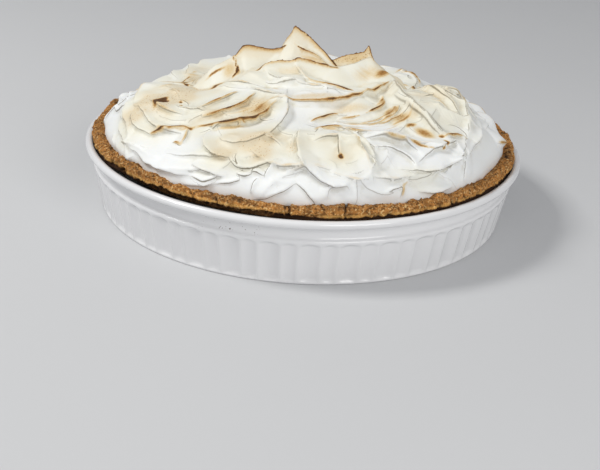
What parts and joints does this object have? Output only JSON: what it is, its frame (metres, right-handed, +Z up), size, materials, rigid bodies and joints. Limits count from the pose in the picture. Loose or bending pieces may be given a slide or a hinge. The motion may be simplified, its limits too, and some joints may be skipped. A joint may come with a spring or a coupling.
{
  "type": "lemon meringue pie",
  "caption": "Whole round pie in a fluted dish: a low crumb crust filled to the rim, under a high swirled meringue with browned ridges.",
  "frame": {"origin": "centre of the dish's foot, on the surface that it stands on", "axes": "+Z up; -Y is the front of the pie, which the picture shows; +X to its right"},
  "size_m": [0.2538, 0.2538, 0.1062],
  "materials": {
    "dish_glaze": "plain white glazed stoneware, glossy",
    "baked_crust": "rough baked crumb crust, matte, mid brown",
    "toasted_meringue": "soft white meringue with cream, tan and brown toasted ridges, satin"
  },
  "bodies": {
    "root": {"dish": "dish_glaze", "crust": "baked_crust", "meringue": "toasted_meringue"}
  },
  "joints": []
}
